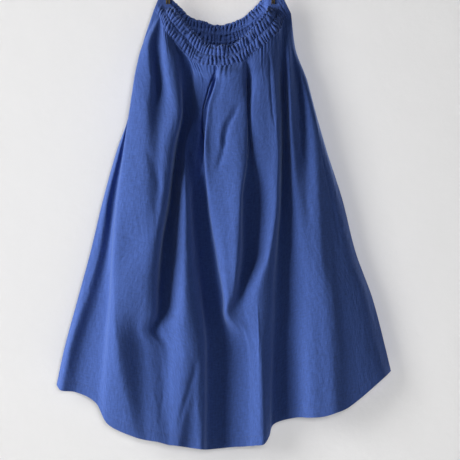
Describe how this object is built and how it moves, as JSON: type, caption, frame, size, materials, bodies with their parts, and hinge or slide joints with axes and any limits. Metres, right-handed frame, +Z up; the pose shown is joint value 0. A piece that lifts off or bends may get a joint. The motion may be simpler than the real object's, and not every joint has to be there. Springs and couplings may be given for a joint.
{
  "type": "tucked skirt on a clip hanger",
  "caption": "Long blue cotton skirt with deep soft tucks below a shirred elastic waistband, hanging open from a wooden bar with a wire hook and two small brass clips.",
  "frame": {"origin": "inner top of the wire hook, where a rail or wall hook carries the hanger", "axes": "+Z up; the front of the skirt faces -Y; +X to the right as seen from in front"},
  "size_m": [0.6724, 0.0894, 1.0381],
  "materials": {
    "skirt_cloth": "matt plain-weave cotton",
    "band_cloth": "matt shirred cotton over elastic",
    "hanger_wood": "satin",
    "hanger_brass": "satin"
  },
  "bodies": {
    "root": {"skirt_front": "skirt_cloth", "skirt_back": "skirt_cloth", "waistband_front": "band_cloth", "waistband_back": "band_cloth", "hanger_bar": "hanger_wood", "hanger_hook": "hanger_brass", "clip_left": "hanger_brass", "clip_right": "hanger_brass"}
  },
  "joints": []
}
